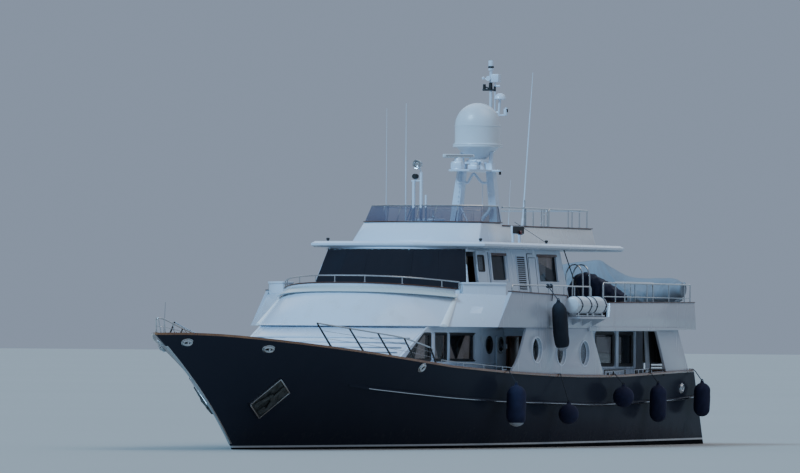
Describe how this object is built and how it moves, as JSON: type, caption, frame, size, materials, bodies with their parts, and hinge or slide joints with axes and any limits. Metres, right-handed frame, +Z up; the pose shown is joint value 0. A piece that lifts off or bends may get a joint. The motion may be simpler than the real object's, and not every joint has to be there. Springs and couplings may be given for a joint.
{
  "type": "motor yacht",
  "caption": "Motor yacht with a flared dark hull, white two-level deckhouse, flybridge, mast with satellite dome, swing and sliding doors, twin screws and rudders.",
  "frame": {"origin": "amidships on the centreline at the waterline", "axes": "+X forward to the bow, +Y to port, +Z up"},
  "size_m": [32.715, 8.3563, 12.89],
  "materials": {
    "navy_paint": "gloss",
    "white_paint": "satin",
    "teak": "varnished",
    "deck_teak": "matt",
    "steel": "polished",
    "bronze": "satin",
    "tinted": "gloss",
    "black_cover": "matt",
    "grey_cover": "matt",
    "navy_fabric": "matt",
    "gelcoat": "satin"
  },
  "bodies": {
    "yacht": {"hull": "navy_paint", "bulwark_port": "navy_paint", "bulwark_starboard": "navy_paint", "cap_rail_port": "teak", "cap_rail_starboard": "teak", "shaft_line_port": "steel", "shaft_line_starboard": "steel", "anchor_pocket_port": "steel", "anchor_pocket_starboard": "steel", "side_rail_port": "steel", "side_rail_starboard": "steel", "bow_pulpit": "steel", "windlass": "steel", "house_front": "white_paint", "house_side_port": "white_paint", "house_side_starboard": "white_paint", "topside_wall_port": "white_paint", "topside_wall_starboard": "white_paint", "saloon_walls": "white_paint", "upper_deck": "deck_teak", "portuguese_bridge": "white_paint", "upper_bulwark": "white_paint", "pilothouse_side_port": "white_paint", "pilothouse_side_starboard": "white_paint", "pilothouse_front": "white_paint", "windscreen_cover": "black_cover", "pilothouse_bulkhead": "white_paint", "wheelhouse_roof": "white_paint", "flybridge_coaming": "white_paint", "flybridge_screen": "tinted", "flybridge_rail": "steel", "mast": "white_paint", "satellite_dome": "gelcoat", "searchlight": "gelcoat", "bridge_rail": "steel", "upper_side_rail_port": "steel", "upper_side_rail_starboard": "steel", "boat_deck_rail": "steel", "liferafts_port": "gelcoat", "liferafts_starboard": "gelcoat", "tender": "navy_fabric", "tender_cover": "grey_cover", "covered_craft": "navy_fabric", "fender_1": "navy_fabric", "fender_2": "navy_fabric", "fender_3": "navy_fabric", "fender_4": "navy_fabric", "fender_5": "navy_fabric", "fender_6": "navy_fabric"},
    "propeller_port": {"propeller_port": "bronze"},
    "propeller_starboard": {"propeller_starboard": "bronze"},
    "rudder_port": {"rudder_port": "bronze"},
    "rudder_starboard": {"rudder_starboard": "bronze"},
    "radar_scanner": {"radar_scanner": "gelcoat"},
    "side_door_port": {"side_door_port": "white_paint"},
    "side_door_starboard": {"side_door_starboard": "white_paint"},
    "pilothouse_door_port": {"pilothouse_door_port": "white_paint"},
    "pilothouse_door_starboard": {"pilothouse_door_starboard": "white_paint"},
    "saloon_door": {"saloon_door": "tinted"},
    "foredeck_hatch": {"foredeck_hatch": "white_paint"}
  },
  "joints": [
    {"name": "propeller_port_spin", "type": "hinge", "parent": "yacht", "child": "propeller_port", "pos_m": [-12.94309, 1.25, -1.40576], "axis": [0.9891, 0, 0.1472], "continuous": true},
    {"name": "rudder_port_turn", "type": "hinge", "parent": "yacht", "child": "rudder_port", "pos_m": [-14.1, 1.25, -1.3], "axis": [0, 0, 1], "range_deg": [-35, 35]},
    {"name": "propeller_starboard_spin", "type": "hinge", "parent": "yacht", "child": "propeller_starboard", "pos_m": [-12.94309, -1.25, -1.40576], "axis": [0.9891, 0, 0.1472], "continuous": true},
    {"name": "rudder_starboard_turn", "type": "hinge", "parent": "yacht", "child": "rudder_starboard", "pos_m": [-14.1, -1.25, -1.3], "axis": [0, 0, 1], "range_deg": [-35, 35]},
    {"name": "radar_scanner_spin", "type": "hinge", "parent": "yacht", "child": "radar_scanner", "pos_m": [-5.35, -0.13, 8.105], "axis": [0, 0, 1], "continuous": true},
    {"name": "side_door_port_swing", "type": "hinge", "parent": "yacht", "child": "side_door_port", "pos_m": [-2.369, 2.588, 2.185], "axis": [0, 0, 1], "range_deg": [0, 90]},
    {"name": "pilothouse_door_port_slide", "type": "slide", "parent": "yacht", "child": "pilothouse_door_port", "axis": [1, 0, 0], "range_m": [0, 0.64]},
    {"name": "side_door_starboard_swing", "type": "hinge", "parent": "yacht", "child": "side_door_starboard", "pos_m": [-2.369, -2.588, 2.185], "axis": [0, 0, -1], "range_deg": [0, 90]},
    {"name": "pilothouse_door_starboard_slide", "type": "slide", "parent": "yacht", "child": "pilothouse_door_starboard", "axis": [1, 0, 0], "range_m": [0, 0.64]},
    {"name": "saloon_door_slide", "type": "slide", "parent": "yacht", "child": "saloon_door", "axis": [0, 1, 0], "range_m": [0, 0.93]},
    {"name": "foredeck_hatch_lift", "type": "hinge", "parent": "yacht", "child": "foredeck_hatch", "pos_m": [9.13, 0, 1.993], "axis": [0, 1, 0], "range_deg": [0, 80]}
  ]
}
